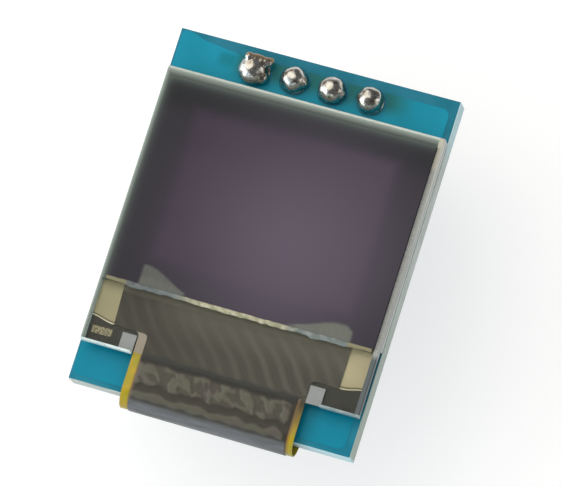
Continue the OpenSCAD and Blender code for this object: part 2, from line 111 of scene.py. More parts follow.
class Finish(Wiring):
    """A material with one Principled shader. Sizes of its patterns are in millimetres.

    The colour that it starts with is for viewers that show no patterns.
    """

    def __init__(self, name, colour, roughness=0.5, metallic=0.0, specular=0.5):
        self.mat = bpy.data.materials.new(name)
        super().__init__(self.mat)
        self.skin = self.tree["Principled BSDF"]
        self.skin.inputs["Base Color"].default_value = colour
        self.skin.inputs["Roughness"].default_value = roughness
        self.skin.inputs["Metallic"].default_value = metallic
        self.skin.inputs["Specular IOR Level"].default_value = specular
        self.place = self.tree.new("ShaderNodeTexCoord").outputs["Object"]

    def grain(self, size, detail=3.0, lift=0.0, stretch=(1, 1, 1)):
        """Noise from 0 to 1 with features of that size, drawn out along stretch."""
        fit = self.tree.new("ShaderNodeMapping")
        fit.inputs["Scale"].default_value = [1 / (MM * size * s) for s in stretch]
        fit.inputs["Location"].default_value = (lift, lift, lift)
        field = self.tree.new("ShaderNodeTexNoise")
        field.inputs["Scale"].default_value = 1.0
        field.inputs["Detail"].default_value = detail
        self.join(self.place, fit.inputs["Vector"])
        self.join(fit.outputs["Vector"], field.inputs["Vector"])
        return field.outputs["Fac"]

    def along(self, axis):
        """Place along the module's X, Y or Z axis, in millimetres."""
        axes = self.tree.new("ShaderNodeSeparateXYZ")
        self.join(self.place, axes.inputs[0])
        return self.work("DIVIDE", axes.outputs[axis], MM)

    def fade(self, axis, low, high, to_low=0.0, to_high=1.0):
        """0 to 1, or another range, between two places along an axis."""
        return self.level(self.along(axis), low, high, to_low, to_high)

    def off_middle(self):
        """Distance from the module's middle line, to the left or right."""
        return self.work("ABSOLUTE", self.along("X"), 0)

    def mottle(self, field, low, high, first, second):
        """Two colours that change over where a field goes from low to high."""
        return self.blend(self.level(field, low, high), first, second)

    def mark(self, name):
        """A value that the mesh carries at its points."""
        read = self.tree.new("ShaderNodeAttribute")
        read.attribute_name = name
        return read.outputs["Fac"]

    def colour(self, share, first, second):
        """Colour of the surface: two colours, mixed by a share of the second."""
        self.join(self.blend(share, first, second), self.skin.inputs["Base Color"])

    def gloss(self, value):
        self.join(value, self.skin.inputs["Roughness"])

    def relief(self, height, depth, strength=1.0):
        """Bump of that depth in millimetres."""
        bump = self.tree.new("ShaderNodeBump")
        bump.inputs["Strength"].default_value = strength
        bump.inputs["Distance"].default_value = depth * MM
        self.join(height, bump.inputs["Height"])
        self.join(bump.outputs["Normal"], self.skin.inputs["Normal"])


def dress(finish, *names):
    """Gives CAD nodes a finish."""
    for name in names:
        mesh = nodes[name].data
        mesh.materials.clear()
        mesh.materials.append(finish.mat)


def corners(node):
    """A CAD node's lowest and highest corner, in millimetres."""
    return [[round(place / MM, 2) for place in corner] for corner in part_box(node)]


(_, BOARD_Y0, _), (BOARD_X, BOARD_Y1, _) = corners("board_core")
RIGHT_SIDE = (BOARD_X - 0.05, BOARD_X - 0.01)

laminate = Finish("laminate", paint(226, 232, 226), 0.62)
plies = laminate.grain(0.16, 4, stretch=(9, 9, 0.42))
resin = laminate.grain(0.5, 5, 3.0)
pressed = laminate.blend(resin, paint(208, 218, 212), paint(234, 244, 240))
sawn = laminate.mottle(plies, 0.35, 0.68, pressed, paint(184, 194, 186))
# Painted light and shade on the board's sides: the foot and the upper part of the right side are
# painted a pale cool tint, and the lower part of the right side darker.
on_right = laminate.fade("X", *RIGHT_SIDE)
on_foot = laminate.fade("Y", BOARD_Y0 + 0.16, BOARD_Y0 + 0.04)
lower_side = laminate.both(on_foot, laminate.fade("X", -5.0, 9.0))
painted_cool_light = laminate.either(lower_side, laminate.both(laminate.fade("Y", -3.2, -0.2), on_right))
painted_side_shade = laminate.both(laminate.fade("Y", -9.0, -17.0, 0.0, 0.75), on_right)
sawn = laminate.blend(painted_side_shade, sawn, paint(176, 194, 180))
laminate.colour(painted_cool_light, sawn, paint(208, 244, 250))
laminate.relief(plies, 0.02, 0.6)
dress(laminate, "board_core")

# ----------------------------------------
# Solder mask: teal lacquer on both faces, raised where copper lies under it and
# open round the pads. The front pour stops short of the board's edges, with a
# bay at each pin, and round the joints the lacquer is darker and greener.

PINS = [sum(corner[0] for corner in corners(f"header_pin_{number}")) / 2 for number in range(1, 5)]
RING_OPENING = 0.872
MASK_LOW, MASK_TOP = [corner[2] for corner in corners("mask_front")]
STEP_Z = MASK_LOW + 0.012


def set_out(name, data):
    """A new object in the scene, from a mesh, curve, lamp or camera."""
    thing = bpy.data.objects.new(name, data)
    bpy.context.scene.collection.objects.link(thing)
    return thing


def settled(former):
    """The mesh that a former's curve or modifiers give; the former itself goes."""
    shape = former.evaluated_get(bpy.context.evaluated_depsgraph_get())
    mesh = bpy.data.meshes.new_from_object(shape)
    bpy.data.objects.remove(former)
    return mesh


def solid_from(name, verts, faces, finish, smooth=True):
    """An object from points in millimetres, riding on the module."""
    mesh = bpy.data.meshes.new(name)
    mesh.from_pydata([(x * MM, y * MM, z * MM) for x, y, z in verts], [], faces)
    tidy = bmesh.new()
    tidy.from_mesh(mesh)
    bmesh.ops.recalc_face_normals(tidy, faces=tidy.faces)
    tidy.to_mesh(mesh)
    tidy.free()
    mesh.polygons.foreach_set("use_smooth", [smooth] * len(mesh.polygons))
    mesh.set_sharp_from_angle(angle=math.radians(50))
    return place_piece(name, mesh, finish)


def place_piece(name, mesh, *finishes):
    """A piece with its finishes, riding on the module."""
    for finish in finishes:
        mesh.materials.append(finish.mat)
    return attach(set_out(name, mesh), "root")


def circle(x, y, r, count=48):
    return [(x + r * math.cos(math.tau * i / count), y + r * math.sin(math.tau * i / count))
            for i in range(count)]


def rounded(x0, y0, x1, y1, r, count=6):
    """Outline of a rectangle with rounded corners."""
    points = []
    for cx, cy, start in ((x1 - r, y0 + r, -90), (x1 - r, y1 - r, 0),
                          (x0 + r, y1 - r, 90), (x0 + r, y0 + r, 180)):
        for i in range(count + 1):
            a = math.radians(start + 90 * i / count)
            points.append((cx + r * math.cos(a), cy + r * math.sin(a)))
    return points


def sheet_mesh(name, loops, z0, z1, edge):
    """Mesh of a flat sheet between two levels, cut to its loops, with eased edges."""
    curve = bpy.data.curves.new(name, "CURVE")
    curve.dimensions = "2D"
    curve.fill_mode = "BOTH"
    curve.bevel_depth = edge
    curve.offset = -edge
    curve.extrude = (z1 - z0) / 2 - edge
    for loop in loops:
        spline = curve.splines.new("POLY")
        spline.points.add(len(loop) - 1)
        for point, (x, y) in zip(spline.points, loop):
            point.co = (x, y, 0, 1)
        spline.use_cyclic_u = True
    mesh = settled(set_out(name + "_former", curve))
    mesh.materials.clear()
    mesh.transform(Matrix.Diagonal((MM, MM, MM, 1)) @ Matrix.Translation((0, 0, (z0 + z1) / 2)))
    return mesh


def cut_sheet(name, loops, z0, z1, edge, finish):
    """A flat piece with its finish."""
    piece = place_piece(name, sheet_mesh(name, loops, z0, z1, edge), finish)
    return piece


mask = Finish("solder_mask", paint(10, 139, 160), 0.3, specular=0.15)
weave = mask.grain(0.55, 2)
cloud = mask.grain(3.0, 2, 5.0, stretch=(1, 1.6, 1))
low_teal = mask.mottle(cloud, 0.3, 0.75, paint(0, 137, 163), paint(5, 144, 173))
high_teal = mask.mottle(cloud, 0.3, 0.75, paint(0, 143, 169), paint(8, 151, 180))
teal = mask.blend(mask.fade("Y", -19.0, -1.0), low_teal, high_teal)
darker_round_joints = mask.both(mask.fade("X", -5.6, -4.9), mask.fade("X", 6.9, 4.9), mask.fade("Y", -0.9, 0.1))
teal = mask.blend(darker_round_joints, teal, paint(26, 115, 117))
# Painted highlight: a small greener glint on the lacquer, left of the joints.
painted_glint = mask.both(mask.fade("X", -6.7, -6.1), mask.fade("X", -5.0, -5.6),
                  mask.fade("Y", 0.8, 0.4), mask.fade("Y", -0.5, 0.2))
mask.colour(painted_glint, teal, paint(0, 132, 150))
mask.gloss(mask.level(weave, 0.2, 0.8, 0.26, 0.38))
mask.relief(weave, 0.006, 0.5)

mask_low = Finish("solder_mask_on_laminate", paint(50, 124, 142), 0.34, specular=0.15)
low_cloud = mask_low.grain(1.6)
upper_band = mask_low.mottle(low_cloud, 0.3, 0.7, paint(16, 119, 141), paint(36, 127, 151))
lower_band = mask_low.mottle(low_cloud, 0.3, 0.7, paint(14, 122, 146), paint(34, 136, 160))
mask_low.colour(mask_low.fade("Y", -21.0, -18.0), lower_band, upper_band)
mask_low.relief(mask_low.grain(0.4), 0.006, 0.5)

MASK_INSET = 0.04
right_x, low_y = BOARD_X - MASK_INSET, BOARD_Y0 + MASK_INSET
board_edge = [(-BOARD_X, low_y), (right_x, low_y), (right_x, BOARD_Y1), (-BOARD_X, BOARD_Y1)]
openings = [circle(x, 0, RING_OPENING) for x in PINS]
front_mask = cut_sheet("front_mask", [board_edge] + openings, MASK_LOW, STEP_Z, 0.002,
                       mask_low)
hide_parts("mask_front")

POUR_Y1 = 0.76
BAY_R = 1.02
BAY_STEPS = 36


def pour_outline():
    """The pour's edge, counted round from the lower right, with a bay at each pin."""
    body = rounded(-9.24, -21.78, 8.86, POUR_Y1, 0.5)
    per_corner = len(body) // 4
    right_corners, lower_left_corner = body[:2 * per_corner], body[3 * per_corner:]
    mouth = math.degrees(math.asin(POUR_Y1 / BAY_R))
    bays = []
    for x in reversed(PINS):
        for i in range(BAY_STEPS + 1):
            a = math.radians(mouth - (180 + 2 * mouth) * i / BAY_STEPS)
            bays.append((x + BAY_R * math.cos(a), BAY_R * math.sin(a)))
    shoulder = [(-5.2, POUR_Y1), (-5.9, 0.8), (-6.5, 0.9), (-7.1, 0.97), (-7.7, 1.05), (-8.2, 1.24),
                (-8.8, 1.38), (-9.14, 1.32), (-9.24, 1.1)]
    return right_corners + bays + shoulder + lower_left_corner


cut_sheet("front_pour", [pour_outline()], STEP_Z, MASK_TOP, 0.006, mask)

dress(mask_low, "mask_back")

MASK_BACK_Z = corners("mask_back")[0][2]
BACK_Z, RAISED_Z = MASK_BACK_Z + 0.002, MASK_BACK_Z - 0.013
VIA_R, VIA_HOLE_R = 0.34, 0.13
for side, x0, x1 in (("left", -9.0, -6.4), ("right", 6.4, 9.0)):
    area = rounded(x0, -21.75, x1, -1.5, 0.5)
    cut_sheet(f"back_pour_{side}", [area], RAISED_Z, BACK_Z, 0.005, mask)
for number, (x, y) in enumerate([(-7.9, -4.2), (-7.9, -12.6), (7.9, -7.5), (7.9, -15.8),
                                 (-1.65, -6.1), (4.95, -6.1), (-3.3, -12.0), (3.3, -8.2)], 1):
    ring = [circle(x, y, VIA_R, 24), circle(x, y, VIA_HOLE_R, 24)]
    cut_sheet(f"via_{number}", ring, RAISED_Z - 0.008, BACK_Z, 0.005, mask)


def track(points, width):
    """Points and faces of a raised track with sloping sides that follows a line."""
    verts, faces = [], []
    for k, (x, y) in enumerate(points):
        before = Vector(points[max(k - 1, 0)])
        after = Vector(points[min(k + 1, len(points) - 1)])
        here = Vector((x, y))
        ways = [w.normalized() for w in (here - before, after - here) if w.length > 0]
        along = sum(ways, Vector((0, 0))).normalized()
        across = Vector((-along.y, along.x)) * width / 2 / max(0.5, along.dot(ways[0]))
        for share, z in ((1, BACK_Z), (0.9, RAISED_Z), (-0.9, RAISED_Z), (-1, BACK_Z)):
            verts.append((x + across.x * share, y + across.y * share, z))
        if k:
            b = 4 * k
            faces += [(b - 4 + i, b + i, b + (i + 1) % 4, b - 4 + (i + 1) % 4) for i in range(4)]
    return verts, faces + [(0, 1, 2, 3), (b + 3, b + 2, b + 1, b)]


LEADS = 16
LEAD_X0, LEAD_PITCH = -4.65, 0.62
LEAD_Y = -13.5
PIN_Y = -1.3
PART_COLUMNS = (-4.95, -1.65, 1.65, 4.95)
TRACKS = [([(-2.79, LEAD_Y), (-2.79, -3.2), (-3.5, -2.49), (-3.5, PIN_Y)], 0.3),
          ([(-0.31, LEAD_Y), (-0.31, -2.6), (-1.0, -1.91), (-1.0, PIN_Y)], 0.3),
          ([(0.31, LEAD_Y), (0.31, -2.8), (1.0, -2.11), (1.0, PIN_Y)], 0.3),
          ([(3.41, LEAD_Y), (3.41, -11.9), (3.3, -11.8), (3.3, -2.3), (3.8, -1.8), (3.8, PIN_Y)], 0.3),
          ([(-3.41, LEAD_Y), (-3.41, -12.4), (-3.3, -12.1)], 0.25),
          ([(-1.65, -7.3), (-1.65, -6.3)], 0.4),
          ([(4.95, -7.3), (4.95, -6.3)], 0.4),
          ([(1.65, -7.3), (1.65, -5.7)], 0.6),
          ([(-4.95, -7.3), (-4.95, -6.8), (-5.55, -6.2), (-5.55, -6.05)], 0.4),
          ([(-4.6, -2.9), (-4.6, -2.3), (-3.9, -1.6), (-3.9, PIN_Y)], 0.4)]
for x in PART_COLUMNS:
    TRACKS.append(([(x, -10.7), (x, -9.72)], 0.6))
    nearest = min((LEAD_X0 + LEAD_PITCH * k for k in range(LEADS)), key=lambda lead_x: abs(x - lead_x))
    TRACKS.append(([(nearest, LEAD_Y - 0.08), (x, -13.1)], 0.28))
verts, faces = [], []
for points, width in TRACKS:
    some_verts, some_faces = track(points, width)
    faces += [tuple(len(verts) + i for i in face) for face in some_faces]
    verts += some_verts
solid_from("back_tracks", verts, faces, mask, smooth=False)

# ----------------------------------------
# Tinned copper: the plated holes with their rings, and the bare pads on the
# back. Hot-air levelled, so bright with a faint grain.

tin = Finish("tinned_copper", paint(196, 197, 192), 0.3, 1.0)
tin_grain = tin.grain(0.12, 4)
tin.gloss(tin.level(tin_grain, 0.25, 0.75, 0.22, 0.42))
tin.relief(tin_grain, 0.006, 0.5)
dress(tin, "hole_plating", "smd_pads", "film_pads")

# ----------------------------------------
# Pin header on the back: one moulded strip of black nylon, and four square
# pins of plated brass pressed through it, with coined tips.

nylon = Finish("header_nylon", paint(24, 25, 27), 0.45)
nylon_grain = nylon.grain(0.09, 4)
nylon.colour(nylon.grain(0.8), paint(20, 21, 23), paint(34, 35, 38))
nylon.relief(nylon_grain, 0.012, 0.6)

plating = Finish("pin_plating", paint(214, 204, 172), 0.22, 1.0)
draw_lines = plating.grain(0.05, 3, stretch=(1, 1, 22))
plating.gloss(plating.level(draw_lines, 0.2, 0.8, 0.16, 0.34))
plating.colour(plating.grain(0.7), paint(206, 196, 164), paint(222, 215, 190))
plating.relief(draw_lines, 0.004, 0.5)


def rounded_blocks(name, source, radius, finish):
    """Blocks with rounded edges in the place of a CAD node's sharp ones."""
    shape = bmesh.new()
    shape.from_mesh(nodes[source].data)
    bmesh.ops.remove_doubles(shape, verts=shape.verts, dist=1e-7)
    bmesh.ops.dissolve_limit(shape, angle_limit=0.02, verts=shape.verts, edges=shape.edges)
    sharp = [e for e in shape.edges if len(e.link_faces) == 2 and e.calc_face_angle(0) > 0.3]
    bmesh.ops.bevel(shape, geom=sharp, offset=radius * MM, segments=3, affect="EDGES", profile=0.5)
    mesh = bpy.data.meshes.new(name)
    shape.to_mesh(mesh)
    shape.free()
    mesh.shade_smooth()
    piece = place_piece(name, mesh, finish)
    soften = piece.modifiers.new("faces", "WEIGHTED_NORMAL")
    soften.keep_sharp = True
    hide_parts(source)


rounded_blocks("header_strip", "header_body", 0.06, nylon)
for number in range(1, 5):
    rounded_blocks(f"pin_{number}", f"header_pin_{number}", 0.04, plating)

# ----------------------------------------
# Solder joints. Hand soldered with too much tin: each joint has balled up on
# its copper ring and swallowed the pin's end. The first took two strokes of
# the iron, and carries a lump on one side and a spike drawn towards the edge.

solder = Finish("solder", paint(206, 203, 196), 0.28, 1.0)
crystal = solder.grain(0.3)
skin_marks = solder.grain(0.09, 4, 2.0)
bright = solder.mottle(crystal, 0.3, 0.7, paint(184, 179, 168), paint(211, 210, 207))
# Dark brownish blotches over the solder.
dark_blotches = solder.level(solder.grain(0.5, 4, 5.0), 0.52, 0.66, 0.0, 0.85)
bright = solder.blend(dark_blotches, bright, paint(120, 108, 92))
crown = solder.both(solder.fade("Y", 0.42, 0.7), solder.fade("X", -2.7, -2.9))
dulled = solder.both(crown, 0.2)
solder.gloss(solder.work("ADD", solder.level(skin_marks, 0.3, 0.8, 0.2, 0.34), dulled))
solder.colour(crown, bright, paint(166, 146, 122))
solder.relief(skin_marks, 0.015, 0.5)
dress(solder, "finger_solder", "smd_solder")


def melted(name, blobs, cell):
    """One skin round several balls, each (x, y, z, radius, stretch along z), in millimetres."""
    crowd = bmesh.new()
    for x, y, z, r, tall in blobs:
        spot = Matrix.Translation((x, y, z)) @ Matrix.Diagonal((r, r, r * tall, 1))
        bmesh.ops.create_icosphere(crowd, subdivisions=4, radius=1, matrix=spot)
    mesh = bpy.data.meshes.new(name)
    crowd.to_mesh(mesh)
    crowd.free()
    former = set_out(name + "_former", mesh)
    skin = former.modifiers.new("skin", "REMESH")
    skin.mode = "VOXEL"
    skin.voxel_size = cell
    flow = former.modifiers.new("flow", "SMOOTH")
    flow.factor = 0.6
    flow.iterations = 9
    return settled(former)


RING_TOP = corners("hole_plating")[1][2]
RIPPLE = 0.05


def joint_piece(name, x, blobs, seed):
    """A frozen joint, with the shallow dents that solder gets as it cools."""
    mesh = melted(name, blobs, 0.045)
    for v in mesh.vertices:
        dent = noise(v.co * 1.8 + Vector((seed, 0, 0))) + 0.1 * noise(v.co * 4.5)
        v.co += v.co.normalized() * RIPPLE * dent * min(1, max(0, v.co.z) / 0.3)
        v.co.z = max(v.co.z, 0.0)
    mesh.transform(Matrix.Diagonal((MM, MM, MM, 1)) @ Matrix.Translation((x, 0, RING_TOP)))
    mesh.materials.clear()
    mesh.shade_smooth()
    return place_piece(name, mesh, solder)


WETTED = (0, 0, 0, 0.9, 0.3)
JOINTS = [
    [WETTED, (-0.22, -0.08, 0.3, 0.98, 1), (-0.22, 0.18, 0.7, 0.54, 1), (-0.42, 0.4, 0.82, 0.4, 1),
     (-0.5, 0.54, 1.0, 0.32, 1), (-0.12, 0.5, 0.78, 0.4, 1), (0.16, 0.5, 0.68, 0.4, 1),
     (0.44, 0.5, 0.6, 0.38, 1), (0.66, 0.6, 0.56, 0.32, 1), (0.78, 0.68, 0.52, 0.25, 1),
     (0.42, -0.4, 0.3, 0.48, 1)],
    [WETTED, (-0.05, 0.03, 0.2, 0.84, 1.02), (-0.42, -0.18, 0.16, 0.52, 1), (0.46, 0.0, 0.2, 0.5, 1)],
    [WETTED, (-0.03, 0.0, 0.2, 0.88, 1.0), (-0.4, -0.26, 0.16, 0.52, 1), (0.56, -0.16, 0.3, 0.36, 1)],
    [WETTED, (-0.06, 0.01, 0.2, 0.85, 1.02), (0.2, 0.22, 0.33, 0.55, 1)],
]
for number, (x, blobs) in enumerate(zip(PINS, JOINTS), 1):
    joint = joint_piece(f"solder_{number}", x, blobs, 3.3 * number)
    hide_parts(f"solder_joint_{number}")

# ----------------------------------------
# Display from below: white foam tape, the etched back glass with its drying
# sheet, the grey seal round the cell, and the light-emitting layers.

foam = Finish("foam_tape", paint(236, 236, 230), 0.8)
cells = foam.grain(0.07, 4)
foam.colour(foam.level(cells, 0.4, 0.7), paint(240, 240, 235), paint(214, 215, 210))
foam.relief(cells, 0.03, 0.8)
dress(foam, "foam_tape")

back_glass = Finish("back_glass", paint(180, 188, 182), 0.28)
etch = back_glass.grain(0.1, 4)
back_glass.colour(back_glass.grain(0.9, stretch=(1, 1, 3)), paint(168, 176, 170), paint(192, 198, 192))
back_glass.relief(etch, 0.01, 0.5)
dress(back_glass, "cap_glass")

dryer = Finish("drying_sheet", paint(186, 184, 172), 0.85)
dryer.relief(dryer.grain(0.05), 0.01, 0.6)
dress(dryer, "desiccant_sheet")

seal = Finish("edge_seal", paint(160, 172, 162), 0.4)
cured = seal.blend(seal.grain(0.25), paint(176, 194, 182), paint(196, 210, 200))
# Painted shade: the seal is painted darker inwards from the glass's upper and left edges, and lighter
# near those edges, where light comes in.
near_edge = seal.either(seal.fade("Y", -2.15, -1.5), seal.fade("X", -8.6, -8.95))
seal.colour(near_edge, paint(92, 106, 98), cured)
dress(seal, "edge_seal")

emitter = Finish("emitting_layers", paint(92, 84, 96), 0.3)
emitter.colour(emitter.grain(2.0), paint(86, 78, 90), paint(98, 90, 102))
dress(emitter, "organic_layers")

# ----------------------------------------
# Front glass: soda-lime sheet, scribed and broken to size. Its faces are
# clear and its margins ground, so the lower edge gathers light as a pale line.

(glass_x0, glass_y0, glass_z0), (glass_x1, glass_y1, GLASS_Z1) = corners("substrate_glass")
GLASS = (glass_x0, glass_y0 - 0.22, glass_x1, glass_y1 + 0.06)
GLASS_Z0 = glass_z0 + 0.003
GLASS_EDGE = 0.06

clear = Finish("clear_glass", paint(116, 130, 123), 0.03)
clear.skin.inputs["Alpha"].default_value = 0.04
ground = Finish("ground_glass", paint(172, 174, 168), 0.4)
scratches = ground.grain(0.14, 4, stretch=(3, 0.25, 1))
rubbed_and_painted_light = ground.mottle(scratches, 0.3, 0.7, paint(158, 160, 155), paint(186, 188, 182))
corner = ground.fade("Y", -3.6, -3.2)
rubbed_and_painted_light = ground.blend(ground.both(corner, 0.6), rubbed_and_painted_light, paint(214, 210, 186))
# Painted light: the upper part of the glass's right side is painted lighter.
cut_side = ground.both(ground.fade("X", *RIGHT_SIDE), ground.fade("Y", -13.0, -2.0))
rubbed_and_painted_light = ground.blend(cut_side, rubbed_and_painted_light, paint(214, 216, 208))
# Painted shade: the ground strip along the right of the ledge, and its upright, are painted dark.
thin_strip = ground.blend(scratches, paint(80, 90, 92), paint(102, 111, 112))
thin_strip = ground.blend(ground.fade("X", 9.28, 9.34), thin_strip, paint(66, 74, 78))
rubbed_and_painted_light = ground.blend(ground.fade("Y", -15.6, -16.1), rubbed_and_painted_light, thin_strip)
# Painted shade and highlight on the upper and left ground margins: darker towards the polarizer, with a
# painted highlight along the upper edge.
outwards = ground.either(ground.fade("Y", -1.98, -1.42), ground.fade("X", -8.76, -9.12))
frosted = ground.blend(scratches, paint(138, 152, 143), paint(168, 182, 172))
haze_and_painted_light = ground.blend(outwards, paint(76, 86, 82), frosted)
rim_light = ground.blend(ground.fade("X", -8, 5), paint(202, 210, 200), paint(218, 225, 215))
rim_light = ground.mottle(scratches, 0.2, 0.6, paint(176, 180, 168), rim_light)
haze_and_painted_light = ground.blend(ground.fade("Y", -1.56, -1.47), haze_and_painted_light, rim_light)
ground.colour(ground.fade("X", 8.96, 9.04), haze_and_painted_light, rubbed_and_painted_light)
ground.relief(scratches, 0.02, 0.6)

lit_edge = Finish("lit_edge", paint(208, 234, 233), 0.3)
chips = lit_edge.grain(0.12, 4, stretch=(3, 3, 1))
white_edge = lit_edge.mottle(chips, 0.3, 0.7, paint(196, 220, 220), paint(234, 246, 244))
grey_edge = lit_edge.mottle(chips, 0.3, 0.7, paint(126, 146, 150), paint(164, 178, 180))
lit_edge.colour(lit_edge.fade("X", -4, 5), white_edge, grey_edge)
lit_edge.relief(chips, 0.02, 0.6)

CUTS_X = [-8.95, -8.74, -5.8, 6.75, 9.03]
CUTS_Y = [-19.58, -15.6, -2.04]


def glass_finish(x, y, upright):
    """Which finish a part of the glass has: 0 clear, 1 ground, 2 the bright lower edge."""
    if y < CUTS_Y[0]:
        return 0 if CUTS_X[2] < x < CUTS_X[3] else 2
    beside_film = y > CUTS_Y[1]
    if x > CUTS_X[4] or beside_film and (x < CUTS_X[1] or y > CUTS_Y[2]):
        return 1
    return 1 if x < CUTS_X[0] and not upright else 0


plate = sheet_mesh("front_glass", [rounded(*GLASS, 0.05, 2)], GLASS_Z0, GLASS_Z1, GLASS_EDGE)
scribe = bmesh.new()
scribe.from_mesh(plate)
for place, way in [((x, 0, 0), (1, 0, 0)) for x in CUTS_X] + [((0, y, 0), (0, 1, 0)) for y in CUTS_Y]:
    whole = scribe.verts[:] + scribe.edges[:] + scribe.faces[:]
    bmesh.ops.bisect_plane(scribe, geom=whole, plane_co=Vector(place) * MM, plane_no=way)
scribe.to_mesh(plate)
scribe.free()
front_glass = place_piece("front_glass", plate, clear, ground, lit_edge)
for face in plate.polygons:
    x, y, _ = face.center / MM
    face.material_index = glass_finish(x, y, abs(face.normal.z) < 0.01)
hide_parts("substrate_glass")

# ----------------------------------------
# Polarizer: dark satin film laminated on the glass. The unlit dots show through
# it as a purple-grey area, the lead fan-outs as two pale patches at its foot,
# and light seeps in under its upper and left edges.

(polar_x0, polar_y0, _), (polar_x1, polar_y1, POLAR_Z1) = corners("polarizer_film")
POLAR = (polar_x0, polar_y0 + 0.01, polar_x1, polar_y1)
POLAR_THICK = 0.19
(dots_x0, dots_y0, _), (dots_x1, dots_y1, _) = corners("organic_layers")
LIT_AREA = (dots_x0 + 0.17, dots_y0 - 0.13, dots_x1 + 0.17, dots_y1 - 0.13)
GRID = 0.1
FOOT_ROWS = 8


def ramp(value, low, high):
    """0 below low, 1 above high, smooth between."""
    t = min(1.0, max(0.0, (value - low) / (high - low)))
    return t * t * (3 - 2 * t)


def foot_wave(x):
    """Uneven line of the film's lower edge, cut a little aslant."""
    bow = 0.13 + 0.04 * ramp(abs(x), 2.2, 6.5)
    slow, quick = noise((x * 0.9, 4.0, 0)), noise((x * 2.6, 9.0, 0))
    return bow + 0.03 * slow + 0.025 * quick


def lit_mark(x, y):
    """1 on the area of the dots, 0 outside it."""
    inside = min(x - LIT_AREA[0], LIT_AREA[2] - x, y - LIT_AREA[1], LIT_AREA[3] - y)
    return ramp(inside, -0.5, 0.6)


def fan_mark(x, y):
    """1 on the two fan-outs of the leads."""
    left_top = -14.1 - 0.95 * ramp(x, -6.3, -3.5) - 0.25 * ramp(x, -4.6, -3.4)
    left = ramp(x, -6.62, -6.48) * ramp(left_top - y, -0.04, 0.1) * ramp(-3.4 - x, 0, 0.3)
    right_top = -15.42 + 1.05 * ramp(x, 2.9, 6.6) - 0.3 * ramp(x, 6.9, 7.5)
    right = ramp(x, 3.0, 4.0) * ramp(right_top - y, -0.06, 0.18) * ramp(7.55 - x, 0, 0.22)
    brighter = 0.8 + 0.2 * ramp(-14.6 - y, 0, 0.6)
    return max(0.78 * left * brighter, right)


def seep_mark(x, y):
    """Light that creeps in under the upper and the left edge."""
    top = math.exp(-max(0, POLAR[3] - y) / 0.22)
    left = 0.8 * math.exp(-max(0, x - POLAR[0]) / 0.18)
    return min(1.0, top + left)


def painted_sheen_mark(x, y):
    """Painted reflection: the film is paler towards the lower middle of the panel."""
    return math.exp(-((x - 2.2) / 6.5) ** 2 - ((y + 10.5) / 6.5) ** 2)


columns = int(round((POLAR[2] - POLAR[0]) / GRID))
rows = int(round((POLAR[3] - POLAR[1]) / GRID))
verts, faces, spots = [], [], []
for j in range(rows + 1):
    for i in range(columns + 1):
        x = POLAR[0] + (POLAR[2] - POLAR[0]) * i / columns
        y = POLAR[1] + (POLAR[3] - POLAR[1]) * j / rows
        near_foot = ramp(1 - j / FOOT_ROWS, 0, 1)
        verts.append((x, y + foot_wave(x) * near_foot, POLAR_Z1))
        spots.append((x, y))
        if i and j:
            b = j * (columns + 1) + i
            faces.append((b - columns - 2, b - columns - 1, b, b - 1))
rim = ([i for i in range(columns + 1)]
       + [j * (columns + 1) + columns for j in range(1, rows + 1)]
       + [rows * (columns + 1) + i for i in range(columns - 1, -1, -1)]
       + [j * (columns + 1) for j in range(rows - 1, 0, -1)])
above = rim
for drop, spread in ((0.02, 0.012), (POLAR_THICK, 0.014)):
    start = len(verts)
    for k in rim:
        x, y, z = verts[k]
        outwards = 1 if x > POLAR[2] - 0.08 else -1 if x < POLAR[0] + 0.08 else 0
        verts.append((x + spread * outwards, y, POLAR_Z1 - drop))
        spots.append(None)
    for k in range(len(rim)):
        n = (k + 1) % len(rim)
        faces.append((above[k], start + k, start + n, above[n]))
    above = list(range(start, len(verts)))
faces.append(tuple(above))

film = Finish("polarizer", paint(68, 66, 70), 0.42, specular=0.2)
haze = film.grain(0.05)
drift = film.grain(5.0, 2, 7.0, stretch=(1.4, 1, 1))
border = film.blend(drift, paint(43, 41, 47), paint(47, 44, 52))
border = film.blend(film.fade("Y", -4.6, -3.2), border, paint(32, 34, 38))
dots = film.mottle(drift, 0.3, 0.7, paint(58, 46, 62), paint(64, 54, 68))
# Painted reflection: the dots are painted paler to the right.
dots = film.blend(film.fade("X", -2.0, 7.0), dots, paint(74, 61, 78))
DOT_PITCH = 0.2097
gaps = [film.level(film.work("PINGPONG", film.along(axis), DOT_PITCH / 2), 0.0, 0.035) for axis in "XY"]
on_dot = film.level(film.work("MINIMUM", *gaps), 0.0, 1.0, 0.5, 1.0)
dots = film.blend(on_dot, paint(50, 40, 54), dots)
dark = film.blend(film.mark("lit_area"), border, dots)
# Painted reflection: the film is painted paler towards the panel's lower middle.
shade = film.blend(film.mark("pale"), dark, paint(96, 86, 102))
leads = film.blend(film.grain(0.12, stretch=(1, 6, 1)), paint(104, 106, 98), paint(124, 127, 118))
shade = film.blend(film.both(film.mark("fan_out"), 0.95), shade, leads)
film.colour(film.both(film.mark("edge_seep"), 0.8), shade, paint(96, 108, 102))
film.gloss(film.level(haze, 0.2, 0.8, 0.36, 0.5))
film.relief(haze, 0.003, 0.4)


def carry(piece, spots, marks):
    """Writes marks on a piece, each worked out from its points' two places; a bare point gets 0."""
    for name, rule in marks:
        layer = piece.data.attributes.new(name, "FLOAT", "POINT")
        layer.data.foreach_set("value", [max(0.0, rule(*spot)) if spot else 0.0 for spot in spots])


polarizer = solid_from("polarizer_sheet", verts, faces, film)
carry(polarizer, spots, (("lit_area", lit_mark), ("fan_out", fan_mark), ("edge_seep", seep_mark),
                         ("pale", painted_sheen_mark)))
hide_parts("polarizer_film")

# ----------------------------------------
# Cream glue: a bead under the glass, in the step between the back glass and the
# film, and a line of it along the polarizer's foot, run by hand, so it wanders.

